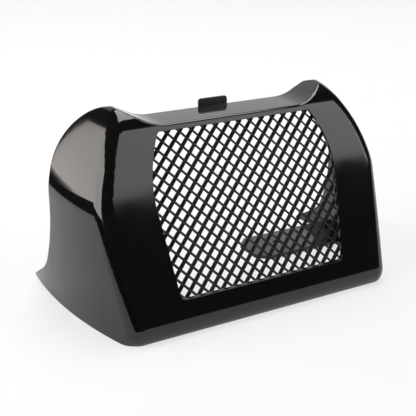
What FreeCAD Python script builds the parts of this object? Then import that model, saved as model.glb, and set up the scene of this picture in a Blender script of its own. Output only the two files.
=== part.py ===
import FreeCAD, Part
import math
import os
import Sketcher

# Oil cooler cover for a motorbike: a moulded shell, a mesh screen behind its window
# and a clip on its top flange. Millimetres, +Z up. The front faces -Y, X runs across,
# and the shell stands on its lower edges at Z = 0. In the sketches Y = 0 is the lower
# front edge; the pieces are then moved so that the origin is the middle of the base.

V = FreeCAD.Vector
UP = V(0, 0, 1)

SIZES = {
    "wall": 2.6,
    "half_width": 109.4,
    "wing_radius": 280.0,
    "wing_apex": 96.5,
    "wing_draft": 1.5,
    "fold_height": 69.0,
    "fold_radius": 38.0,
    "fold_turn": 17.0,
    "shoulder_radius": 106.0,
    "front_lean": 21.0,
    "roll_radius": 12.0,
    "roll_centre_y": 9.2,
    "roll_centre_z": 7.7,
    "bend_height": 88.0,
    "bend_radius": 140.0,
    "crown_height": 126.4,
    "crown_radius": 28.0,
    "crease_radius": 10.0,
    "inner_bevel": 5.5,
    "valley_depth": 10.2,
    "valley_half": 46.0,
    "valley_radius": 30.0,
    "valley_rise": 26.0,
    "brow_radius": 2.5,
    "flange_edge": 69.0,
    "flange_half": 72.0,
    "ear_setback": 64.0,
    "ear_drop": 31.4,
    "ear_radius": 31.0,
    "neck_radius": 80.0,
    "neck_height": 60.0,
    "heel_radius": 28.0,
    "toe_angle": 31.0,
    "toe_reach": 122.0,
    "toe_height": 1.2,
    "window_bottom": 21.6,
    "window_head": 0.8,
    "window_half_low": 58.2,
    "window_half_wide": 63.4,
    "window_wide_height": 72.0,
    "window_side_radius": 62.0,
    "window_corner": 4.0,
    "tab_inner": 36.0,
    "tab_front": 64.0,
    "tab_rear": 100.0,
    "tab_thickness": 3.0,
    "tab_corner": 8.0,
    "tab_hole_radius": 3.5,
    "tab_hole_x": 62.0,
    "tab_hole_y": 82.0,
    "cell_width": 8.19,
    "cell_height": 8.9,
    "strand": 1.35,
    "mesh_thickness": 1.8,
    "mesh_shift": 0.75,
    "mesh_columns": 17,
    "mesh_bottom": 16.2,
    "mesh_head": 0.6,
    "mesh_tilt": 1.6,
    "clip_width": 20.8,
    "clip_thickness": 1.2,
    "clip_rise": 4.9,
    "clip_leg": 12.0,
    "clip_gap": 0.2,
    "clip_corner": 2.0,
    "clip_bend": 1.8,
}

# Working margins: how far cutting profiles run past the shell
BELOW = 1.0
BEYOND = 20.0

# How much of a face's unit normal counts as a little and as nearly all, to tell edges apart
SLIGHT = 0.05
STEEP = 0.9

doc = FreeCAD.newDocument("oil_cooler_cover")
sheet = doc.addObject("Spreadsheet::Sheet", "dims")
for row, (alias, value) in enumerate(SIZES.items(), start=1):
    sheet.set("A%d" % row, alias.replace("_", " "))
    sheet.set("B%d" % row, str(value))
    sheet.setAlias("B%d" % row, alias)
doc.recompute()


def size(expression):
    """Value of an expression on the sheet's cells."""
    found = sheet.evalExpression(expression.replace("dims.", ""))
    return float(getattr(found, "Value", found))


# Places that follow from the driving sizes
FLANGE_TOP = "(dims.crown_height - dims.valley_depth)"
FLANGE_UNDER = "(%s - dims.wall)" % FLANGE_TOP
EAR_Y = "(dims.toe_reach - dims.ear_setback)"
EAR_Z = "(dims.crown_height - dims.ear_drop)"
WINDOW_TOP = "(%s - dims.window_head)" % FLANGE_UNDER
MESH_LEAN = "(dims.front_lean + dims.mesh_tilt)"
MESH_TOP = "(%s - dims.mesh_head)" % WINDOW_TOP
MESH_LENGTH = "((%s - dims.mesh_bottom) / cos(%s * 1 deg))" % (MESH_TOP, MESH_LEAN)
MIDDLE_Y = "(dims.toe_reach + dims.roll_centre_y - dims.roll_radius) / 2"


def polar(centre, radius, degrees):
    """Point at an angle on a circle in a sketch."""
    turn = math.radians(degrees)
    return centre + V(math.cos(turn), math.sin(turn), 0) * radius


def new_body(name):
    body = doc.addObject("PartDesign::Body", name)
    body.Label = name
    return body


def origin_plane(body, role):
    return next(f for f in body.Origin.OriginFeatures if f.Role == role)


def new_sketch(body, name, role, lift=None):
    """Sketch on one of the body's own origin planes, moved off it by the lift expression."""
    sketch = body.newObject("Sketcher::SketchObject", name)
    sketch.AttachmentSupport = [(origin_plane(body, role), "")]
    sketch.MapMode = "FlatFace"
    if lift:
        sketch.setExpression("AttachmentOffset.Base.z", lift)
    return sketch


def line(sketch, start, end, construction=False):
    return sketch.addGeometry(Part.LineSegment(start, end), construction)


def arc(sketch, centre, radius, first, last):
    """Arc from the first to the last angle in degrees, anticlockwise."""
    circle = Part.Circle(centre, UP, radius)
    return sketch.addGeometry(Part.ArcOfCircle(circle, math.radians(first), math.radians(last)), False)


def tie(sketch, kind, *refs):
    sketch.addConstraint(Sketcher.Constraint(kind, *refs))


def drive(sketch, label, expression, kind, *refs):
    """Dimension of a sketch, bound to the sheet."""
    value = size(expression)
    if kind == "Angle":
        value = math.radians(value)
    index = sketch.addConstraint(Sketcher.Constraint(kind, *refs, value))
    sketch.renameConstraint(index, label)
    sketch.setExpression("Constraints." + label, expression)


def outwards(sketch, label, expression, side, geometry, point):
    """Distance of a point from the middle, to the right where side is 1 and to the left where it is -1."""
    ends = (-1, 1, geometry, point) if side > 0 else (geometry, point, -1, 1)
    drive(sketch, label, expression, "DistanceX", *ends)


def loop(sketch, ids):
    """Join consecutive lines end to start into a closed outline."""
    for here, there in zip(ids, ids[1:] + ids[:1]):
        tie(sketch, "Coincident", here, 2, there, 1)


def edges_where(shape, test):
    """Names of the edges whose midpoint and two face normals pass the test."""
    names = []
    for number, edge in enumerate(shape.Edges, start=1):
        faces = shape.ancestorsOfType(edge, Part.Face)
        if len(faces) != 2:
            continue
        middle = edge.valueAt((edge.FirstParameter + edge.LastParameter) / 2)
        normals = [face.normalAt(*face.Surface.parameter(middle)) for face in faces]
        if test(middle, *normals) or test(middle, *reversed(normals)):
            names.append("Edge%d" % number)
    return names


def add_fillet(body, name, radius, test):
    base = body.Tip
    fillet = body.newObject("PartDesign::Fillet", name)
    fillet.Base = (base, edges_where(base.Shape, test))
    fillet.setExpression("Radius", radius)
    doc.recompute()
    return fillet


def add_bevel(body, name, width, test):
    base = body.Tip
    bevel = body.newObject("PartDesign::Chamfer", name)
    bevel.Base = (base, edges_where(base.Shape, test))
    bevel.setExpression("Size", width)
    doc.recompute()
    return bevel


def mirror_feature(body, name, feature):
    mirrored = body.newObject("PartDesign::Mirrored", name)
    mirrored.Originals = [feature]
    mirrored.MirrorPlane = (origin_plane(body, "YZ_Plane"), [""])
    body.Tip = mirrored
    doc.recompute()
    return mirrored


# Form of the cover, as a full block: the mould's cavity where the inset is zero,
# and its core where the inset is the wall
def cover_form(name, inset, soften, soften_by):
    body = new_body(name)
    lean = size("front_lean")
    step = size(inset)

    # Side view: rolled lower edge, leaning front, gentle bend, crown over the ears
    side = new_sketch(body, name + "_side", "YZ_Plane")
    roll_centre = V(size("roll_centre_y"), size("roll_centre_z"), 0)
    roll = size("roll_radius") - step
    bend = size("bend_radius") - step
    crown = size("crown_radius") - step
    front_low = polar(roll_centre, roll, 180 - lean)
    bend_z = size("bend_height") - size("bend_radius") * math.sin(math.radians(lean))
    rise = (bend_z + bend * math.sin(math.radians(lean)) - front_low.y) / math.cos(math.radians(lean))
    front_high = front_low + V(math.sin(math.radians(lean)), math.cos(math.radians(lean)), 0) * rise
    bend_centre = polar(front_high, bend, -lean)
    crown_z = size("crown_height - crown_radius")
    turn = math.degrees(math.asin((crown_z - bend_z) / (bend - crown)))
    crown_centre = polar(bend_centre, bend - crown, 180 - turn)
    crown_top = crown_centre + V(0, crown, 0)
    low_end = 180 + math.degrees(math.asin((roll_centre.y + BELOW) / roll))
    lower_edge = polar(roll_centre, roll, low_end)
    back = size("toe_reach") + BEYOND
    g_roll = arc(side, roll_centre, roll, 180 - lean, low_end)
    g_front = line(side, front_low, front_high)
    g_bend = arc(side, bend_centre, bend, 180 - turn, 180 - lean)
    g_crown = arc(side, crown_centre, crown, 90, 180 - turn)
    g_top = line(side, crown_top, V(back, crown_top.y, 0))
    g_back = line(side, V(back, crown_top.y, 0), V(back, -BELOW, 0))
    g_floor = line(side, V(back, -BELOW, 0), lower_edge)
    tie(side, "Tangent", g_roll, 1, g_front, 1)
    tie(side, "Tangent", g_front, 2, g_bend, 2)
    tie(side, "Tangent", g_bend, 1, g_crown, 2)
    tie(side, "Tangent", g_crown, 1, g_top, 1)
    tie(side, "Coincident", g_top, 2, g_back, 1)
    tie(side, "Coincident", g_back, 2, g_floor, 1)
    tie(side, "Coincident", g_floor, 2, g_roll, 2)
    tie(side, "Horizontal", g_top)
    tie(side, "Vertical", g_back)
    tie(side, "Horizontal", g_floor)
    drive(side, "roll", "dims.roll_radius - %s" % inset, "Radius", g_roll)
    drive(side, "roll_y", "dims.roll_centre_y", "DistanceX", -1, 1, g_roll, 3)
    drive(side, "roll_z", "dims.roll_centre_z", "DistanceY", -1, 1, g_roll, 3)
    drive(side, "lean", "90 - dims.front_lean", "Angle", g_front)
    drive(side, "bend", "dims.bend_radius - %s" % inset, "Radius", g_bend)
    drive(side, "bend_z", "dims.bend_height - dims.bend_radius * sin(dims.front_lean * 1 deg)",
          "DistanceY", -1, 1, g_bend, 3)
    drive(side, "crown", "dims.crown_radius - %s" % inset, "Radius", g_crown)
    drive(side, "crown_z", "dims.crown_height - dims.crown_radius", "DistanceY", -1, 1, g_crown, 3)
    drive(side, "back", "dims.toe_reach + %g" % BEYOND, "DistanceX", -1, 1, g_back, 1)
    drive(side, "below", "%g" % BELOW, "DistanceY", g_floor, 1, -1, 1)
    doc.recompute()
    block = body.newObject("PartDesign::Pad", name + "_block")
    block.Profile = side
    block.Midplane = True
    block.setExpression("Length", "2 * (dims.half_width + %g)" % BEYOND)
    doc.recompute()

    # Wings: all that is outside a drum is cut. The drum has an upright lower wall,
    # a soft fold and a shoulder that leans inwards.
    wing = new_sketch(body, name + "_wing", "XZ_Plane", "-dims.wing_apex")
    draft = size("wing_draft")
    base_x = size("half_width") - step / math.cos(math.radians(draft))
    base_low = V(base_x + BELOW * math.tan(math.radians(draft)), -BELOW, 0)
    fold = size("fold_radius") - step
    shoulder = size("shoulder_radius") - step
    fold_z = size("fold_height")
    fold_low_z = fold_z + fold * math.sin(math.radians(draft))
    fold_low = V(base_x - fold_low_z * math.tan(math.radians(draft)), fold_low_z, 0)
    fold_centre = polar(fold_low, fold, 180 + draft)
    shoulder_centre = polar(fold_centre, shoulder - fold, 180 + size("fold_turn"))
    top = size("crown_height") + BELOW
    shoulder_end = math.degrees(math.asin((top - shoulder_centre.y) / shoulder))
    rim = size("half_width") + 2 * BEYOND
    w_wall = line(wing, base_low, fold_low)
    w_fold = arc(wing, fold_centre, fold, draft, size("fold_turn"))
    w_shoulder = arc(wing, shoulder_centre, shoulder, size("fold_turn"), shoulder_end)
    shoulder_top = polar(shoulder_centre, shoulder, shoulder_end)
    w_top = line(wing, shoulder_top, V(rim, top, 0))
    w_rim = line(wing, V(rim, top, 0), V(rim, -BELOW, 0))
    w_floor = line(wing, V(rim, -BELOW, 0), base_low)
    axis_x = size("half_width - wing_radius")
    w_axis = line(wing, V(axis_x, 0, 0), V(axis_x, fold_z, 0), True)
    tie(wing, "Tangent", w_wall, 2, w_fold, 1)
    tie(wing, "Tangent", w_fold, 2, w_shoulder, 1)
    tie(wing, "Coincident", w_shoulder, 2, w_top, 1)
    tie(wing, "Coincident", w_top, 2, w_rim, 1)
    tie(wing, "Coincident", w_rim, 2, w_floor, 1)
    tie(wing, "Coincident", w_floor, 2, w_wall, 1)
    tie(wing, "Horizontal", w_top)
    tie(wing, "Vertical", w_rim)
    tie(wing, "Horizontal", w_floor)
    tie(wing, "Vertical", w_axis)
    tie(wing, "PointOnObject", w_axis, 1, -1)
    leaned = "%s / cos(dims.wing_draft * 1 deg) - %g * tan(dims.wing_draft * 1 deg)" % (inset, BELOW)
    drive(wing, "base", "dims.half_width - (%s)" % leaned, "DistanceX", -1, 1, w_wall, 1)
    drive(wing, "draft", "90 + dims.wing_draft", "Angle", w_wall)
    drive(wing, "fold", "dims.fold_radius - %s" % inset, "Radius", w_fold)
    drive(wing, "fold_z", "dims.fold_height", "DistanceY", -1, 1, w_fold, 3)
    drive(wing, "shoulder", "dims.shoulder_radius - %s" % inset, "Radius", w_shoulder)
    drive(wing, "shoulder_z",
          "dims.fold_height - (dims.shoulder_radius - dims.fold_radius) * sin(dims.fold_turn * 1 deg)",
          "DistanceY", -1, 1, w_shoulder, 3)
    drive(wing, "top", "dims.crown_height + %g" % BELOW, "DistanceY", -1, 1, w_top, 1)
    drive(wing, "rim", "dims.half_width + %g" % (2 * BEYOND), "DistanceX", -1, 1, w_rim, 1)
    drive(wing, "below", "%g" % BELOW, "DistanceY", w_floor, 1, -1, 1)
    drive(wing, "axis", "dims.wing_radius - dims.half_width", "DistanceX", w_axis, 1, -1, 1)
    drive(wing, "axis_end", "dims.fold_height", "DistanceY", -1, 1, w_axis, 2)
    doc.recompute()
    outside = body.newObject("PartDesign::Groove", name + "_wing_cut")
    outside.Profile = wing
    outside.ReferenceAxis = (wing, ["Axis0"])
    outside.Angle = 360
    doc.recompute()
    mirror_feature(body, name + "_wings", outside)

    # Crease between the front and each wing, running on over the ears: rounded outside, bevelled inside
    def on_crease(middle, across, facing):
        outer = facing.y < -SLIGHT or facing.z > STEEP
        return outer and abs(facing.x) < SLIGHT and abs(across.x) > 0.5 and middle.z > -BELOW
    soften(body, name + "_crease", soften_by, on_crease)

    # Valley between the ears: its flat floor is the top flange
    valley = new_sketch(body, name + "_valley", "XZ_Plane")
    floor = size(FLANGE_TOP) - step
    half = size("valley_half")
    sweep = size("valley_radius") + step
    climb = size("valley_rise")
    reach = size("half_width")
    high = size("crown_height") + BEYOND
    centre = V(half, floor + sweep, 0)
    foot = polar(centre, sweep, climb - 90)
    tip = V(reach, foot.y + (reach - foot.x) * math.tan(math.radians(climb)), 0)
    v_floor = line(valley, V(-half, floor, 0), V(half, floor, 0))
    v_right = arc(valley, centre, sweep, -90, climb - 90)
    v_slope = line(valley, foot, tip)
    v_side = line(valley, tip, V(reach, tip.y + high, 0))
    v_lid = line(valley, V(reach, tip.y + high, 0), V(-reach, tip.y + high, 0))
    v_side_left = line(valley, V(-reach, tip.y + high, 0), V(-reach, tip.y, 0))
    v_slope_left = line(valley, V(-reach, tip.y, 0), V(-foot.x, foot.y, 0))
    v_left = arc(valley, V(-half, floor + sweep, 0), sweep, -90 - climb, -90)
    tie(valley, "Tangent", v_floor, 2, v_right, 1)
    tie(valley, "Tangent", v_right, 2, v_slope, 1)
    tie(valley, "Coincident", v_slope, 2, v_side, 1)
    tie(valley, "Coincident", v_side, 2, v_lid, 1)
    tie(valley, "Coincident", v_lid, 2, v_side_left, 1)
    tie(valley, "Coincident", v_side_left, 2, v_slope_left, 1)
    tie(valley, "Tangent", v_slope_left, 2, v_left, 1)
    tie(valley, "Tangent", v_left, 2, v_floor, 1)
    tie(valley, "Vertical", v_side)
    tie(valley, "Vertical", v_side_left)
    tie(valley, "Horizontal", v_lid)
    tie(valley, "Symmetric", v_floor, 1, v_floor, 2, -2)
    tie(valley, "Symmetric", v_slope, 2, v_slope_left, 1, -2)
    tie(valley, "Equal", v_right, v_left)
    drive(valley, "floor", "%s - %s" % (FLANGE_TOP, inset), "DistanceY", -1, 1, v_floor, 2)
    drive(valley, "half", "dims.valley_half", "DistanceX", -1, 1, v_floor, 2)
    drive(valley, "sweep", "dims.valley_radius + %s" % inset, "Radius", v_right)
    drive(valley, "climb", "dims.valley_rise", "Angle", v_slope)
    drive(valley, "reach", "dims.half_width", "DistanceX", -1, 1, v_slope, 2)
    drive(valley, "high", "dims.crown_height + %g" % BEYOND, "DistanceY", v_side, 1, v_side, 2)
    doc.recompute()
    notch = body.newObject("PartDesign::Pocket", name + "_valley_cut")
    notch.Profile = valley
    notch.Type = "ThroughAll"
    notch.Midplane = True
    doc.recompute()
    return body


# Cover shell: the outer form hollowed by the inner form
shell = cover_form("cover_shell", "0 * dims.wall", add_fillet, "dims.crease_radius")


def on_brow(middle, above, beside):
    flat = abs(above.y) < SLIGHT and above.z > 0.85 and middle.z > size(FLANGE_TOP) - BELOW
    return flat and above.getAngle(beside) > 2 * SLIGHT and middle.y < size("toe_reach")


add_fillet(shell, "brow", "dims.brow_radius", on_brow)
core = cover_form("core", "dims.wall", add_bevel, "dims.inner_bevel")
hollow = shell.newObject("PartDesign::Boolean", "hollow")
hollow.Type = "Cut"
hollow.Group = [core]
shell.Tip = hollow
doc.recompute()

# Rear edge of the wings: round ear, hollow neck, heel and a long pointed toe on the floor
rear = new_sketch(shell, "rear_edge", "YZ_Plane")
ear_centre = V(size(EAR_Y), size(EAR_Z), 0)
ear = size("ear_radius")
neck = size("neck_radius")
heel = size("heel_radius")
dip = math.degrees(math.asin((ear_centre.y - size("neck_height")) / (ear + neck)))
neck_centre = polar(ear_centre, ear + neck, -dip)
toe_tip = V(size("toe_reach"), size("toe_height"), 0)
toe_normal = 90 - size("toe_angle")
above_toe = (neck_centre - toe_tip).dot(polar(V(), 1, toe_normal))
heel_start = toe_normal + math.degrees(math.acos((heel - above_toe) / (neck - heel)))
heel_centre = polar(neck_centre, neck - heel, heel_start)
heel_end = polar(heel_centre, heel, 180 + toe_normal)
ear_top = polar(ear_centre, ear, 90)
high = size("crown_height") + BEYOND
back = size("toe_reach") + 2 * BEYOND
r_ear = arc(rear, ear_centre, ear, -dip, 90)
r_neck = arc(rear, neck_centre, neck, 180 - dip, heel_start)
r_heel = arc(rear, heel_centre, heel, heel_start, 180 + toe_normal)
r_toe = line(rear, toe_tip, heel_end)
r_up = line(rear, ear_top, V(ear_top.x, high, 0))
r_lid = line(rear, V(ear_top.x, high, 0), V(back, high, 0))
r_back = line(rear, V(back, high, 0), V(back, -BEYOND, 0))
r_low = line(rear, V(back, -BEYOND, 0), V(toe_tip.x, -BEYOND, 0))
r_tip = line(rear, V(toe_tip.x, -BEYOND, 0), toe_tip)
tie(rear, "Tangent", r_ear, 1, r_neck, 1)
tie(rear, "Tangent", r_neck, 2, r_heel, 1)
tie(rear, "Tangent", r_heel, 2, r_toe, 2)
tie(rear, "Coincident", r_ear, 2, r_up, 1)
tie(rear, "Coincident", r_up, 2, r_lid, 1)
tie(rear, "Coincident", r_lid, 2, r_back, 1)
tie(rear, "Coincident", r_back, 2, r_low, 1)
tie(rear, "Coincident", r_low, 2, r_tip, 1)
tie(rear, "Coincident", r_tip, 2, r_toe, 1)
tie(rear, "Vertical", r_up)
tie(rear, "Horizontal", r_lid)
tie(rear, "Vertical", r_back)
tie(rear, "Horizontal", r_low)
tie(rear, "Vertical", r_tip)
drive(rear, "ear_y", EAR_Y, "DistanceX", -1, 1, r_ear, 3)
drive(rear, "ear_z", EAR_Z, "DistanceY", -1, 1, r_ear, 3)
drive(rear, "ear", "dims.ear_radius", "Radius", r_ear)
drive(rear, "ear_top", EAR_Y, "DistanceX", -1, 1, r_ear, 2)
drive(rear, "neck", "dims.neck_radius", "Radius", r_neck)
drive(rear, "neck_z", "dims.neck_height", "DistanceY", -1, 1, r_neck, 3)
drive(rear, "heel", "dims.heel_radius", "Radius", r_heel)
drive(rear, "toe_angle", "180 - dims.toe_angle", "Angle", r_toe)
drive(rear, "toe_y", "dims.toe_reach", "DistanceX", -1, 1, r_toe, 1)
drive(rear, "toe_z", "dims.toe_height", "DistanceY", -1, 1, r_toe, 1)
drive(rear, "high", "dims.crown_height + %g" % BEYOND, "DistanceY", -1, 1, r_lid, 1)
drive(rear, "back", "dims.toe_reach + %g" % (2 * BEYOND), "DistanceX", -1, 1, r_back, 1)
drive(rear, "low", "%g" % BEYOND, "DistanceY", r_low, 1, -1, 1)
doc.recompute()
rear_cut = shell.newObject("PartDesign::Pocket", "rear_cut")
rear_cut.Profile = rear
rear_cut.Type = "ThroughAll"
rear_cut.Midplane = True
doc.recompute()


def box_outline(sketch, left, right, near, far):
    """Rectangle driven by four distances from the origin, the left one measured outwards."""
    xs = -size(left), size(right)
    ys = size(near), size(far)
    corners = [V(xs[0], ys[0], 0), V(xs[1], ys[0], 0), V(xs[1], ys[1], 0), V(xs[0], ys[1], 0)]
    sides = [line(sketch, a, b) for a, b in zip(corners, corners[1:] + corners[:1])]
    loop(sketch, sides)
    tie(sketch, "Horizontal", sides[0])
    tie(sketch, "Vertical", sides[1])
    tie(sketch, "Horizontal", sides[2])
    tie(sketch, "Vertical", sides[3])
    drive(sketch, "left", left, "DistanceX", sides[0], 1, -1, 1)
    drive(sketch, "right", right, "DistanceX", -1, 1, sides[0], 2)
    drive(sketch, "near", near, "DistanceY", -1, 1, sides[0], 1)
    drive(sketch, "far", far, "DistanceY", -1, 1, sides[2], 1)
    doc.recompute()
    return sides


# Lower edges, cut level so that the cover stands on them
floor_sketch = new_sketch(shell, "floor_plan", "XY_Plane")
outer = "dims.half_width + %g" % BEYOND
box_outline(floor_sketch, outer, outer, "-%g" % BEYOND, "dims.toe_reach + %g" % BEYOND)
floor_cut = shell.newObject("PartDesign::Pocket", "floor_cut")
floor_cut.Profile = floor_sketch
floor_cut.Type = "ThroughAll"
doc.recompute()

# Rear edge of the top flange
flange = new_sketch(shell, "flange_plan", "XY_Plane", "dims.bend_height")
behind = "dims.toe_reach + %g" % BEYOND
box_outline(flange, "dims.flange_half", "dims.flange_half", "dims.flange_edge", behind)
flange_cut = shell.newObject("PartDesign::Pocket", "flange_cut")
flange_cut.Profile = flange
flange_cut.Type = "ThroughAll"
flange_cut.Reversed = True
doc.recompute()

# Window in the front, half of it drawn and mirrored
window = new_sketch(shell, "window_half", "XZ_Plane")
low = size("window_bottom")
top = size(WINDOW_TOP)
window_flare = "(dims.window_half_wide - dims.window_half_low)"
slope_text = "atan((dims.window_wide_height - dims.window_bottom) / %s)" % window_flare
slope = size(slope_text)
wide = V(size("window_half_wide"), size("window_wide_height"), 0)
bow = size("window_side_radius")
bow_centre = polar(wide, bow, slope + 90)
bow_end = math.degrees(math.asin((top - bow_centre.y) / bow))
corner = size("window_corner")
meet = V(size("window_half_low"), low, 0)
run = corner / math.tan(math.radians(180 - slope) / 2)
corner_centre = V(meet.x - run, low + corner, 0)
o_low = line(window, V(0, low, 0), V(meet.x - run, low, 0))
o_corner = arc(window, corner_centre, corner, -90, slope - 90)
o_side = line(window, polar(corner_centre, corner, slope - 90), wide)
o_bow = arc(window, bow_centre, bow, slope - 90, bow_end)
o_top = line(window, polar(bow_centre, bow, bow_end), V(0, top, 0))
o_mid = line(window, V(0, top, 0), V(0, low, 0))
tie(window, "Tangent", o_low, 2, o_corner, 1)
tie(window, "Tangent", o_corner, 2, o_side, 1)
tie(window, "Tangent", o_side, 2, o_bow, 1)
tie(window, "Coincident", o_bow, 2, o_top, 1)
tie(window, "Coincident", o_top, 2, o_mid, 1)
tie(window, "Coincident", o_mid, 2, o_low, 1)
tie(window, "Horizontal", o_low)
tie(window, "Horizontal", o_top)
tie(window, "Vertical", o_mid)
tie(window, "PointOnObject", o_low, 1, -2)
drive(window, "low", "dims.window_bottom", "DistanceY", -1, 1, o_low, 1)
drive(window, "top", WINDOW_TOP, "DistanceY", -1, 1, o_top, 1)
drive(window, "corner", "dims.window_corner", "Radius", o_corner)
drive(window, "bow", "dims.window_side_radius", "Radius", o_bow)
drive(window, "slope", slope_text, "Angle", o_side)
drive(window, "wide", "dims.window_half_wide", "DistanceX", -1, 1, o_side, 2)
drive(window, "wide_z", "dims.window_wide_height", "DistanceY", -1, 1, o_side, 2)
doc.recompute()
window_cut = shell.newObject("PartDesign::Pocket", "window_cut")
window_cut.Profile = window
window_cut.Type = "ThroughAll"
window_cut.Midplane = True
doc.recompute()
mirror_feature(shell, "window_both", window_cut)

# Fixing tabs along the floor inside the wings, each with a screw hole
tab = new_sketch(shell, "tab_plan", "XY_Plane")
wing_x = size("half_width - wing_radius")
wing_y = size("wing_apex")
seat = size("wing_radius - wall / 2")
inner = size("tab_inner")
inner_cut = size("tab_inner + tab_corner")
front = size("tab_front")
rear_y = size("tab_rear")
cut_off = size("tab_corner")
first = math.degrees(math.asin((front - wing_y) / seat))
last = math.degrees(math.asin((rear_y - wing_y) / seat))
for name, side in (("right", 1), ("left", -1)):
    centre = V(side * wing_x, wing_y, 0)
    turned = (first, last) if side > 0 else (180 - last, 180 - first)
    begin, finish = (1, 2) if side > 0 else (2, 1)
    near = V(side * (wing_x + seat * math.cos(math.radians(first))), front, 0)
    far = V(side * (wing_x + seat * math.cos(math.radians(last))), rear_y, 0)
    t_front = line(tab, V(side * inner_cut, front, 0), near)
    t_wing = arc(tab, centre, seat, *turned)
    t_rear = line(tab, far, V(side * inner_cut, rear_y, 0))
    t_rear_corner = line(tab, V(side * inner_cut, rear_y, 0), V(side * inner, rear_y - cut_off, 0))
    t_inner = line(tab, V(side * inner, rear_y - cut_off, 0), V(side * inner, front + cut_off, 0))
    t_front_corner = line(tab, V(side * inner, front + cut_off, 0), V(side * inner_cut, front, 0))
    tie(tab, "Coincident", t_front, 2, t_wing, begin)
    tie(tab, "Coincident", t_wing, finish, t_rear, 1)
    tie(tab, "Coincident", t_rear, 2, t_rear_corner, 1)
    tie(tab, "Coincident", t_rear_corner, 2, t_inner, 1)
    tie(tab, "Coincident", t_inner, 2, t_front_corner, 1)
    tie(tab, "Coincident", t_front_corner, 2, t_front, 1)
    tie(tab, "Horizontal", t_front)
    tie(tab, "Horizontal", t_rear)
    tie(tab, "Vertical", t_inner)
    outwards(tab, name + "_wing_x", "dims.half_width - dims.wing_radius", side, t_wing, 3)
    outwards(tab, name + "_inner", "dims.tab_inner", side, t_inner, 1)
    outwards(tab, name + "_front_cut", "dims.tab_inner + dims.tab_corner", side, t_front, 1)
    outwards(tab, name + "_rear_cut", "dims.tab_inner + dims.tab_corner", side, t_rear, 2)
    drive(tab, name + "_wing_y", "dims.wing_apex", "DistanceY", -1, 1, t_wing, 3)
    drive(tab, name + "_seat", "dims.wing_radius - dims.wall / 2", "Radius", t_wing)
    drive(tab, name + "_front", "dims.tab_front", "DistanceY", -1, 1, t_front, 1)
    drive(tab, name + "_rear", "dims.tab_rear", "DistanceY", -1, 1, t_rear, 2)
    drive(tab, name + "_inner_front", "dims.tab_front + dims.tab_corner", "DistanceY", -1, 1, t_inner, 2)
    drive(tab, name + "_inner_rear", "dims.tab_rear - dims.tab_corner", "DistanceY", -1, 1, t_inner, 1)
doc.recompute()
tab_pad = shell.newObject("PartDesign::Pad", "tab_pad")
tab_pad.Profile = tab
tab_pad.setExpression("Length", "dims.tab_thickness")
doc.recompute()


def circle_at(sketch, label, radius, across, along, side=1):
    """Circle driven by a radius and the distances of its centre from the origin."""
    centre = V(side * size(across), size(along), 0)
    ring = sketch.addGeometry(Part.Circle(centre, UP, size(radius)), False)
    drive(sketch, label + "_radius", radius, "Radius", ring)
    outwards(sketch, label + "_across", across, side, ring, 3)
    drive(sketch, label + "_along", along, "DistanceY", -1, 1, ring, 3)


holes = new_sketch(shell, "tab_holes", "XY_Plane")
circle_at(holes, "right", "dims.tab_hole_radius", "dims.tab_hole_x", "dims.tab_hole_y")
circle_at(holes, "left", "dims.tab_hole_radius", "dims.tab_hole_x", "dims.tab_hole_y", -1)
doc.recompute()
hole_cut = shell.newObject("PartDesign::Pocket", "hole_cut")
hole_cut.Profile = holes
hole_cut.Midplane = True
hole_cut.setExpression("Length", "4 * dims.tab_thickness")
doc.recompute()


# Every piece is moved so that the origin is the middle of the base
def settle(body):
    body.setExpression("Placement.Base.y", "-" + MIDDLE_Y)


settle(shell)

# Mesh screen: a flat sheet of crossing strands, the rising ones in front and the falling
# ones behind. It is drawn flat, X across and Y up from its lower edge, with its front face
# at Z = 0, and then leant against the front.
mesh = new_body("mesh_screen")
mesh.AllowCompound = True
half_strand = "dims.strand / 2 * sqrt(1 + (dims.cell_width / dims.cell_height) ^ 2)"
drift = MESH_LENGTH + " * dims.cell_width / dims.cell_height"
half_sheet = "dims.mesh_columns * dims.cell_width / 2"
left_foot = "(%s + dims.mesh_shift - dims.cell_width / 2)" % half_sheet
crossed = math.ceil(size(MESH_LENGTH + " / dims.cell_height"))
strands = int(size("mesh_columns")) + crossed + 1


def strand_layer(name, lean_sign, first_foot):
    """One layer of parallel strands: the first is drawn, the others are repeated along X."""
    sketch = new_sketch(mesh, name + "_strand", "XY_Plane", "-dims.mesh_thickness / 2")
    half = size(half_strand)
    top = size(MESH_LENGTH)
    rise = size(drift)
    foot = -size(first_foot)
    head = foot + lean_sign * rise
    corners = [V(foot - half, 0, 0), V(foot + half, 0, 0), V(head + half, top, 0), V(head - half, top, 0)]
    sides = [line(sketch, a, b) for a, b in zip(corners, corners[1:] + corners[:1])]
    loop(sketch, sides)
    tie(sketch, "Horizontal", sides[0])
    tie(sketch, "Horizontal", sides[2])
    tie(sketch, "Parallel", sides[1], sides[3])
    tie(sketch, "PointOnObject", sides[0], 1, -1)
    drive(sketch, "wide", "2 * " + half_strand, "DistanceX", sides[0], 1, sides[0], 2)
    drive(sketch, "long", MESH_LENGTH, "DistanceY", sides[1], 1, sides[1], 2)
    drive(sketch, "place", first_foot + " + " + half_strand, "DistanceX", sides[0], 1, -1, 1)
    slant = (sides[1], 1, sides[1], 2) if lean_sign > 0 else (sides[1], 2, sides[1], 1)
    drive(sketch, "drift", drift, "DistanceX", *slant)
    doc.recompute()
    pad = mesh.newObject("PartDesign::Pad", name + "_pad")
    pad.Profile = sketch
    pad.Reversed = lean_sign < 0
    pad.setExpression("Length", "dims.mesh_thickness / 2")
    doc.recompute()
    pattern = mesh.newObject("PartDesign::LinearPattern", name + "_layer")
    pattern.Originals = [pad]
    pattern.Direction = (origin_plane(mesh, "X_Axis"), [""])
    pattern.Occurrences = strands
    pattern.setExpression("Length", "%d * dims.cell_width" % (strands - 1))
    mesh.Tip = pattern
    doc.recompute()


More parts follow.
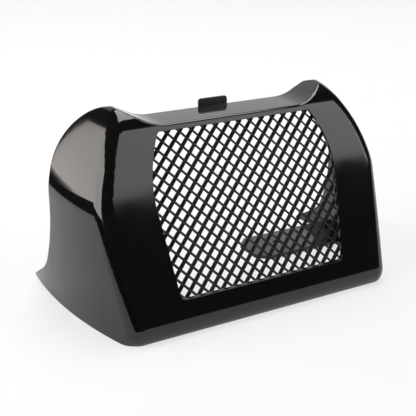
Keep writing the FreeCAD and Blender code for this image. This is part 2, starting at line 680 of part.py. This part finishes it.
strand_layer("rising", 1, left_foot + " + %d * dims.cell_width" % crossed)
strand_layer("falling", -1, left_foot)

# Straight cut ends of the sheet, through the crossings
ends = new_sketch(mesh, "mesh_ends", "XY_Plane")
reach = "%d * dims.cell_width" % strands
far = size(reach)
top = size(MESH_LENGTH) + BEYOND
for name, side, shift in (("right", 1, " - dims.mesh_shift"), ("left", -1, " + dims.mesh_shift")):
    near = size(half_sheet + shift)
    spots = ((near, -BEYOND), (far, -BEYOND), (far, top), (near, top))
    corners = [V(side * across, along, 0) for across, along in spots]
    sides = [line(ends, a, b) for a, b in zip(corners, corners[1:] + corners[:1])]
    loop(ends, sides)
    for index, edge in enumerate(sides):
        tie(ends, "Vertical" if index % 2 else "Horizontal", edge)
    outwards(ends, name + "_near", half_sheet + shift, side, sides[0], 1)
    outwards(ends, name + "_far", reach, side, sides[0], 2)
    drive(ends, name + "_low", "%g" % BEYOND, "DistanceY", sides[0], 1, -1, 1)
    drive(ends, name + "_high", "%s + %g" % (MESH_LENGTH, BEYOND), "DistanceY", -1, 1, sides[2], 1)
doc.recompute()
end_cut = mesh.newObject("PartDesign::Pocket", "end_cut")
end_cut.Profile = ends
end_cut.Type = "ThroughAll"
end_cut.Midplane = True
doc.recompute()
foot_z = "dims.roll_centre_z + (dims.roll_radius - dims.wall) * sin(dims.front_lean * 1 deg)"
foot_y = "dims.roll_centre_y - (dims.roll_radius - dims.wall) * cos(dims.front_lean * 1 deg)"
up_front = "(dims.mesh_bottom - (%s)) * tan(dims.front_lean * 1 deg)" % foot_z
mesh.Placement = FreeCAD.Placement(V(), FreeCAD.Rotation(V(1, 0, 0), 90 - size(MESH_LEAN)))
mesh.setExpression("Placement.Base.y", "%s + %s - %s" % (foot_y, up_front, MIDDLE_Y))
mesh.setExpression("Placement.Base.z", "dims.mesh_bottom")

# Top clip: a strip bent to an L, its leg under the flange and its lip standing up behind the flange's edge
clip = new_body("top_clip")
bent = new_sketch(clip, "clip_profile", "YZ_Plane")
strip = size("clip_thickness")
lip_y = size("flange_edge + clip_gap")
under = size(FLANGE_UNDER)
lip_top = size(FLANGE_TOP + " + dims.clip_rise")
leg_y = size("flange_edge - clip_leg")
outline = [V(leg_y, under - strip, 0), V(lip_y + strip, under - strip, 0), V(lip_y + strip, lip_top, 0),
           V(lip_y, lip_top, 0), V(lip_y, under, 0), V(leg_y, under, 0)]
sides = [line(bent, a, b) for a, b in zip(outline, outline[1:] + outline[:1])]
loop(bent, sides)
for index, side in enumerate(sides):
    tie(bent, "Vertical" if index % 2 else "Horizontal", side)
drive(bent, "leg", "dims.flange_edge - dims.clip_leg", "DistanceX", -1, 1, sides[0], 1)
drive(bent, "lip", "dims.flange_edge + dims.clip_gap", "DistanceX", -1, 1, sides[4], 1)
drive(bent, "lip_thick", "dims.clip_thickness", "DistanceX", sides[4], 1, sides[0], 2)
drive(bent, "under", FLANGE_UNDER, "DistanceY", -1, 1, sides[4], 1)
drive(bent, "leg_thick", "dims.clip_thickness", "DistanceY", sides[0], 1, sides[4], 1)
drive(bent, "rise", FLANGE_TOP + " + dims.clip_rise", "DistanceY", -1, 1, sides[2], 1)
doc.recompute()
strip_pad = clip.newObject("PartDesign::Pad", "strip_pad")
strip_pad.Profile = bent
strip_pad.Midplane = True
strip_pad.setExpression("Length", "dims.clip_width")
doc.recompute()


def on_lip_corner(middle, above, beside):
    return above.z > STEEP and abs(beside.x) > STEEP and middle.z > under + strip


def on_strip_bend(middle, below, behind):
    return below.z < -STEEP and behind.y > STEEP


add_fillet(clip, "lip_corners", "dims.clip_corner", on_lip_corner)
add_fillet(clip, "strip_bend", "dims.clip_bend", on_strip_bend)
settle(clip)
doc.recompute()

# Check every object, then write one file for each piece
for thing in doc.Objects:
    if "Invalid" in thing.State or "Error" in thing.State:
        raise RuntimeError("%s did not build" % thing.Label)
os.makedirs("parts", exist_ok=True)
for body in (shell, mesh, clip):
    if body.Shape.isNull() or not body.Shape.isValid() or len(body.Shape.Solids) != 1:
        raise RuntimeError("%s is not one valid solid" % body.Label)
    body.Shape.exportStep("parts/%s.step" % body.Label)
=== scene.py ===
import math

import bmesh
import bpy
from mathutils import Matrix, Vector


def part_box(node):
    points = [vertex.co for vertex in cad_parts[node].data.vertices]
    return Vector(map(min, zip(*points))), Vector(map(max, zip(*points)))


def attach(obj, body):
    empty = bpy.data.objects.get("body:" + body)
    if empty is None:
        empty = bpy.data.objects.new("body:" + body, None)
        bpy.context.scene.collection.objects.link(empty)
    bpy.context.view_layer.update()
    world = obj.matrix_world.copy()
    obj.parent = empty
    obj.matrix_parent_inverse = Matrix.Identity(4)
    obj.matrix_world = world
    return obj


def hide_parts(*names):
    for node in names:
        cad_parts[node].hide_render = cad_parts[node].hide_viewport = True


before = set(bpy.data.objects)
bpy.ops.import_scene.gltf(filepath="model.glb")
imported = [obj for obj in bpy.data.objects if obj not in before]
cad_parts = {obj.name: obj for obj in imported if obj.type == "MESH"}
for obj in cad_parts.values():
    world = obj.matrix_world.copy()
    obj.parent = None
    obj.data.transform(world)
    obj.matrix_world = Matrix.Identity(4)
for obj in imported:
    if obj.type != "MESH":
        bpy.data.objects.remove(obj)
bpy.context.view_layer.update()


# Cover shell: the body of the cover, one thin injection moulding in black ABS.
# It comes out of a polished mould, so its skin is a mirror gloss, and its rims
# are broken by a small round, as plastic leaves a mould's closing edges.
MM = 0.001
WELD = 0.002 * MM
SKIN_TURN = math.radians(35)

# An edge that turns more than RIM_TURN is a rim. Knife edges and the tips of the
# ears are too thin to take the round, and stay as they are in the solid.
RIM_ROUND = 0.35 * MM
RIM_TURN = math.radians(40)
KNIFE_TURN = math.radians(125)
EAR_TIP = Vector((72, 11, 123)) * MM
EAR_TIP_REACH = 4 * MM


def pick(piece):
    """Makes one piece the only selected and active object."""
    bpy.ops.object.select_all(action="DESELECT")
    piece.select_set(True)
    bpy.context.view_layer.objects.active = piece


def copy_of_node(node_name, piece_name):
    """A free copy of a solid's mesh, its loose triangles welded into one skin."""
    piece = bpy.data.objects.new(piece_name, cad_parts[node_name].data.copy())
    bpy.context.scene.collection.objects.link(piece)
    piece.data.materials.clear()
    pick(piece)
    bpy.ops.mesh.customdata_custom_splitnormals_clear()
    bpy.ops.object.mode_set(mode="EDIT")
    bpy.ops.mesh.select_all(action="SELECT")
    bpy.ops.mesh.remove_doubles(threshold=WELD)
    bpy.ops.object.mode_set(mode="OBJECT")
    return piece


def finish_with(piece, kind, **settings):
    """Adds one modifier with its settings and applies it."""
    pick(piece)
    modifier = piece.modifiers.new(kind.lower(), kind)
    for key, value in settings.items():
        setattr(modifier, key, value)
    bpy.ops.object.modifier_apply(modifier=modifier.name)


def true_normals(piece, node_name):
    """Gives a corner the solid's own exact normal wherever the solid has that corner."""
    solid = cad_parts[node_name].data
    exact = {}
    for corner in solid.loops:
        place = tuple(round(c / WELD) for c in solid.vertices[corner.vertex_index].co)
        exact.setdefault(place, []).append(solid.corner_normals[corner.index].vector)
    normals = []
    for face in piece.data.polygons:
        for corner in face.loop_indices:
            place = piece.data.vertices[piece.data.loops[corner].vertex_index].co
            known = exact.get(tuple(round(c / WELD) for c in place), [])
            near = [n for n in known if n.dot(face.normal) > math.cos(SKIN_TURN)]
            own = piece.data.corner_normals[corner].vector
            normals.append(max(near, key=face.normal.dot) if near else own.copy())
    piece.data.normals_split_custom_set(normals)


shell = copy_of_node("cover_shell", "shell_moulding")
bpy.ops.object.mode_set(mode="EDIT")
bpy.ops.mesh.select_mode(type="EDGE")
bpy.ops.mesh.select_all(action="DESELECT")
shell_edit = bmesh.from_edit_mesh(shell.data)
for edge in shell_edit.edges:
    ends = [Vector((abs(v.co.x), v.co.y, v.co.z)) for v in edge.verts]
    at_ear_tip = any((end - EAR_TIP).length < EAR_TIP_REACH for end in ends)
    edge.select_set(RIM_TURN < edge.calc_face_angle() < KNIFE_TURN and not at_ear_tip)
bmesh.update_edit_mesh(shell.data)
bpy.ops.mesh.bevel(offset=RIM_ROUND, segments=2, clamp_overlap=False)
bpy.ops.object.mode_set(mode="OBJECT")
bpy.ops.object.shade_smooth_by_angle(angle=SKIN_TURN)
finish_with(shell, "WEIGHTED_NORMAL", mode="FACE_AREA", keep_sharp=True)
true_normals(shell, "cover_shell")


def linear(hex_colour):
    """An sRGB hex colour as the linear colour that a shader takes."""
    parts = []
    for start in (1, 3, 5):
        c = int(hex_colour[start:start + 2], 16) / 255
        parts.append(c / 12.92 if c <= 0.04045 else ((c + 0.055) / 1.055) ** 2.4)
    return (*parts, 1.0)


def node(tree, kind, settings=None, links=None):
    """Adds one shader node, sets its properties and sockets, and links what feeds it."""
    made = tree.nodes.new(kind)
    for key, value in (settings or {}).items():
        if key in made.inputs:
            made.inputs[key].default_value = value
        else:
            setattr(made, key, value)
    for key, source in (links or {}).items():
        tree.links.new(source, made.inputs[key])
    return made


def blank_material(name):
    """A new material with an empty node tree."""
    material = bpy.data.materials.new(name)
    material.use_nodes = True
    material.node_tree.nodes.clear()
    return material, material.node_tree


# Polished ABS: deep black with a wet looking skin. It gives clear mirror images,
# a little uneven over the width of a thumb, with a thin haze from handling.
ABS_BLACK = "#0b0b0c"
ABS_IOR = 1.53
SKIN_WAVE = 24 * MM
SKIN_SWELL = 0.02 * MM
HAZE_PATCH = 30 * MM
HAZE_SPAN = (0.3, 0.75)
HAZE_ROUGHNESS = (0.06, 0.11)
gloss_abs, tree = blank_material("polished_black_abs")
spot = node(tree, "ShaderNodeTexCoord")
wave = node(tree, "ShaderNodeTexNoise", {"Scale": 1 / SKIN_WAVE, "Detail": 1.0},
            {"Vector": spot.outputs["Object"]})
swell = node(tree, "ShaderNodeBump", {"Strength": 1.0, "Distance": SKIN_SWELL},
             {"Height": wave.outputs["Fac"]})
patch = node(tree, "ShaderNodeTexNoise", {"Scale": 1 / HAZE_PATCH, "Detail": 4.0},
             {"Vector": spot.outputs["Object"]})
haze = node(tree, "ShaderNodeMapRange",
            {"From Min": HAZE_SPAN[0], "From Max": HAZE_SPAN[1],
             "To Min": HAZE_ROUGHNESS[0], "To Max": HAZE_ROUGHNESS[1]},
            {"Value": patch.outputs["Fac"]})
gloss = node(tree, "ShaderNodeBsdfPrincipled",
             {"Base Color": linear(ABS_BLACK), "IOR": ABS_IOR},
             {"Roughness": haze.outputs["Result"], "Normal": swell.outputs["Normal"]})
node(tree, "ShaderNodeOutputMaterial", None, {"Surface": gloss.outputs["BSDF"]})
shell.data.materials.append(gloss_abs)
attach(shell, "root")
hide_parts("cover_shell")


# Mesh screen: a sheet of expanded steel behind the window, slit and drawn out into
# diamonds, which turns every strand of it on edge, and then coated black.
# It lies on the back of the front wall, which its edges overlap.
CELL_WIDE = 8.19 * MM
CELL_HIGH = 8.9 * MM
PATTERN_SHIFT = -0.75 * MM
STRAND_WIDE = 2.55 * MM
STRAND_THICK = 0.75 * MM
STRAND_EDGE = 0.3 * MM
STRAND_TURN = math.radians(45)
STRAND_LEAN = math.atan2(CELL_HIGH, CELL_WIDE)
RISING_SETBACK = 0.5 * MM
SHEET_DEEP = 1.8 * MM
SHEET_LEAN = math.radians(22.6)
UPRIGHT = math.radians(90)

screen_low, screen_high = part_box("mesh_screen")
sheet_foot = SHEET_DEEP * math.sin(SHEET_LEAN)
sheet_long = (screen_high.z - screen_low.z - sheet_foot) / math.cos(SHEET_LEAN)
strand_long = sheet_long / math.sin(STRAND_LEAN) + 2 * CELL_HIGH
strand_deep = STRAND_WIDE * math.sin(STRAND_TURN) + STRAND_THICK * math.cos(STRAND_TURN)
half_run = sheet_long / 2 / math.tan(STRAND_LEAN)
sheet_sides = (
    ((screen_low.x, 0, 0), (-1, 0, 0)),
    ((screen_high.x, 0, 0), (1, 0, 0)),
    ((0, 0, 0), (0, -1, 0)),
    ((0, sheet_long, 0), (0, 1, 0)),
)

bpy.ops.mesh.primitive_cube_add(size=1)
strand = bpy.context.object
bpy.ops.object.mode_set(mode="EDIT")
bpy.ops.transform.resize(value=(strand_long, STRAND_WIDE, STRAND_THICK))
bpy.ops.mesh.bevel(offset=STRAND_EDGE, segments=2)
bpy.ops.object.mode_set(mode="OBJECT")

# The rising strands, then the falling ones: a row of each, cut to the sheet's sides.
families = []
for lean, setback in ((STRAND_LEAN, RISING_SETBACK), (-STRAND_LEAN, 0)):
    pick(strand)
    bpy.ops.object.duplicate()
    family = bpy.context.object
    middle = PATTERN_SHIFT + math.copysign(half_run, lean)
    start = middle - math.ceil((middle - screen_low.x + half_run) / CELL_WIDE) * CELL_WIDE
    count = math.ceil((screen_high.x + half_run - start) / CELL_WIDE) + 1
    family.rotation_euler = (-STRAND_TURN, 0, lean)
    family.location = (start, sheet_long / 2, -strand_deep / 2 - setback)
    bpy.ops.object.transform_apply(location=True, rotation=True, scale=True)
    finish_with(family, "ARRAY", count=count, use_relative_offset=False,
                use_constant_offset=True, constant_offset_displace=(CELL_WIDE, 0, 0))
    bpy.ops.object.mode_set(mode="EDIT")
    for side, outward in sheet_sides:
        bpy.ops.mesh.select_all(action="SELECT")
        bpy.ops.mesh.bisect(plane_co=side, plane_no=outward, use_fill=True, clear_outer=True)
    bpy.ops.object.mode_set(mode="OBJECT")
    families.append(family)
bpy.data.objects.remove(strand)
screen = families[0]
pick(screen)
families[1].select_set(True)
bpy.ops.object.join()
screen.name = "mesh_sheet"
screen.rotation_euler = (UPRIGHT - SHEET_LEAN, 0, 0)
screen.location = (0, screen_low.y, screen_low.z + sheet_foot)
bpy.ops.object.transform_apply(location=True, rotation=True, scale=True)
bpy.ops.object.shade_smooth_by_angle(angle=SKIN_TURN)

# Powder coat on steel: a satin black that softens every glint, with the faint
# orange peel of baked powder, which also makes its sheen a little uneven.
COAT_BLACK = "#202021"
COAT_IOR = 1.5
PEEL_GRAIN = 0.9 * MM
PEEL_DEEP = 0.06 * MM
PEEL_STRENGTH = 0.35
PEEL_SPAN = (0.3, 0.7)
PEEL_ROUGHNESS = (0.26, 0.4)
coat, tree = blank_material("satin_powder_coat")
spot = node(tree, "ShaderNodeTexCoord")
peel = node(tree, "ShaderNodeTexNoise", {"Scale": 1 / PEEL_GRAIN, "Detail": 2.0},
            {"Vector": spot.outputs["Object"]})
dimples = node(tree, "ShaderNodeBump", {"Strength": PEEL_STRENGTH, "Distance": PEEL_DEEP},
               {"Height": peel.outputs["Fac"]})
sheen = node(tree, "ShaderNodeMapRange",
             {"From Min": PEEL_SPAN[0], "From Max": PEEL_SPAN[1],
              "To Min": PEEL_ROUGHNESS[0], "To Max": PEEL_ROUGHNESS[1]},
             {"Value": peel.outputs["Fac"]})
satin = node(tree, "ShaderNodeBsdfPrincipled",
             {"Base Color": linear(COAT_BLACK), "IOR": COAT_IOR},
             {"Roughness": sheen.outputs["Result"], "Normal": dimples.outputs["Normal"]})
node(tree, "ShaderNodeOutputMaterial", None, {"Surface": satin.outputs["BSDF"]})
screen.data.materials.append(coat)
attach(screen, "root")
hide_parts("mesh_screen")


# Top clip: a small strip of steel bent to an L, coated black as the mesh is.
# One leg lies under the flange and the lip stands up behind its rear edge.
CLIP_EDGE = 0.25 * MM
clip = copy_of_node("top_clip", "clip_strip")
finish_with(clip, "BEVEL", width=CLIP_EDGE, segments=2, limit_method="ANGLE",
            angle_limit=RIM_TURN, use_clamp_overlap=False)
bpy.ops.object.shade_smooth_by_angle(angle=SKIN_TURN)
clip.data.materials.append(coat)
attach(clip, "root")
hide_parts("top_clip")


# Floor and backdrop: a plain white studio table that runs past the picture on
# every side, and a white wall behind it. Both are matt paper, and look white to
# the camera and in reflections while they keep the cover's shadow.
FLOOR_WIDE = 60.0
WALL_LEFT = -0.5
WALL_WIDE = 4.0
WALL_HIGH = 2.2
WALL_BEHIND = 1.9
PAPER_WHITE = "#f2f2f2"
PAPER_GLOW = 0.65
bpy.ops.mesh.primitive_plane_add(size=FLOOR_WIDE)
floor = bpy.context.object
floor.name = "studio_floor"
bpy.ops.mesh.primitive_plane_add(
    size=1, location=(WALL_LEFT + WALL_WIDE / 2, WALL_BEHIND, WALL_HIGH / 2),
    rotation=(UPRIGHT, 0, 0))
wall = bpy.context.object
wall.name = "studio_wall"
wall.scale = (WALL_WIDE, WALL_HIGH, 1)
bpy.ops.object.transform_apply(location=True, rotation=True, scale=True)

# Matt paper: an even white with no sheen. Rays from the camera, and those that
# come by way of a gloss or a clear piece, see part of it as its own plain white.
paper, tree = blank_material("matt_white_paper")
ray = node(tree, "ShaderNodeLightPath")
direct = node(tree, "ShaderNodeMath", {"operation": "MAXIMUM"},
              {0: ray.outputs["Is Camera Ray"], 1: ray.outputs["Is Glossy Ray"]})
seen = node(tree, "ShaderNodeMath", {"operation": "MAXIMUM"},
            {0: direct.outputs["Value"], 1: ray.outputs["Is Transmission Ray"]})
share = node(tree, "ShaderNodeMapRange", {"To Max": PAPER_GLOW},
             {"Value": seen.outputs["Value"]})
matt = node(tree, "ShaderNodeBsdfDiffuse", {"Color": linear(PAPER_WHITE)})
white = node(tree, "ShaderNodeEmission", {"Strength": 1.0})
mixed = node(tree, "ShaderNodeMixShader", None,
             {0: share.outputs["Result"], 1: matt.outputs["BSDF"], 2: white.outputs["Emission"]})
node(tree, "ShaderNodeOutputMaterial", None, {"Surface": mixed.outputs["Shader"]})
for sheet in (floor, wall):
    sheet.data.materials.append(paper)


# Black flag: painted shade, a low black sheet on the left of the table that the camera never
# sees and that casts no shadow. Seen only in the gloss, it paints the left wing's dark band.
FLAG_LEFT = -0.31
FLAG_MIDDLE = 0.3
FLAG_LONG = 3.0
FLAG_HIGH = 0.07
SHADE_BLACK = "#050505"
bpy.ops.mesh.primitive_plane_add(
    size=1, location=(FLAG_LEFT, FLAG_MIDDLE, FLAG_HIGH / 2), rotation=(0, UPRIGHT, 0))
shade_sheet = bpy.context.object
shade_sheet.name = "painted_shade_sheet"
shade_sheet.scale = (FLAG_HIGH, FLAG_LONG, 1)
bpy.ops.object.transform_apply(location=True, rotation=True, scale=True)

# Painted shade: a dead black with no sheen, seen only as a mirror image.
painted_shade, tree = blank_material("painted_dark_reflection")
dark_surface = node(tree, "ShaderNodeBsdfDiffuse", {"Color": linear(SHADE_BLACK)})
node(tree, "ShaderNodeOutputMaterial", None, {"Surface": dark_surface.outputs["BSDF"]})
shade_sheet.data.materials.append(painted_shade)
# Painted dark reflection: hidden from the camera, from diffuse light and from shadows.
shade_sheet.visible_camera = False
shade_sheet.visible_diffuse = False
shade_sheet.visible_shadow = False


# Lights: a long softbox on the left, a high one in front on the right, and a
# soft panel overhead, in a dark room.
ROOM_LEVEL = 0.04


def softbox(name, place, way, size, radiance, tint):
    """An area lamp that faces one way, its radiance running from one end to the other."""
    wide, high = size
    lamp = bpy.data.lights.new(name, "AREA")
    lamp.shape = "RECTANGLE"
    lamp.size = wide
    lamp.size_y = high
    lamp.energy = math.pi * wide * high
    lamp.color = linear(tint)[:3]
    lamp.use_nodes = True
    tree = lamp.node_tree
    tree.nodes.clear()
    spot = node(tree, "ShaderNodeNewGeometry")
    along = node(tree, "ShaderNodeSeparateXYZ", None, {"Vector": spot.outputs["Parametric"]})
    glow = node(tree, "ShaderNodeMapRange", {"To Min": radiance[0], "To Max": radiance[1]},
                {"Value": along.outputs["X"]})
    front = node(tree, "ShaderNodeEmission", None, {"Strength": glow.outputs["Result"]})
    node(tree, "ShaderNodeOutputLight", None, {"Surface": front.outputs["Emission"]})
    box = bpy.data.objects.new(name, lamp)
    bpy.context.scene.collection.objects.link(box)
    box.location = place
    box.rotation_euler = Vector(way).to_track_quat("-Z", "Y").to_euler()


softbox("left_softbox", place=(-1.0, 0.685, 0.495), way=(1, 0, 0),
        size=(2.13, 0.87), radiance=(2.35, 5.9), tint="#fff8f2")
softbox("right_softbox", place=(1.18, -1.2, 1.3), way=(0, 1, 0),
        size=(2.04, 1.6), radiance=(2.0, 2.9), tint="#fafcff")
softbox("overhead_softbox", place=(0.5, 0.5, 1.6), way=(0, 0, -1),
        size=(1.0, 1.1), radiance=(5.0, 5.0), tint="#ffffff")

room = bpy.data.worlds.new("dark_studio")
bpy.context.scene.world = room
room.use_nodes = True
room.node_tree.nodes.clear()
air = node(room.node_tree, "ShaderNodeBackground",
           {"Color": linear("#ffffff"), "Strength": ROOM_LEVEL})
node(room.node_tree, "ShaderNodeOutputWorld", None, {"Surface": air.outputs["Background"]})
bpy.context.scene.view_settings.view_transform = "Standard"


# Camera: at the photograph's place, ahead of the cover, to its left and above it.
EYE = Vector((-256.9, -445.35, 248.2)) * MM
LOOK = Vector((0.4536, 0.8146, -0.3616))
PHOTO_WIDE = 416
FOCAL_PIXELS = 840
SENSOR_WIDE = 36
NEAREST = 10 * MM

lens = bpy.data.cameras.new("photo_camera")
lens.sensor_width = SENSOR_WIDE
lens.lens = FOCAL_PIXELS * SENSOR_WIDE / PHOTO_WIDE
lens.clip_start = NEAREST
camera = bpy.data.objects.new("photo_camera", lens)
bpy.context.scene.collection.objects.link(camera)
camera.location = EYE
camera.rotation_euler = LOOK.to_track_quat("-Z", "Y").to_euler()
bpy.context.scene.camera = camera
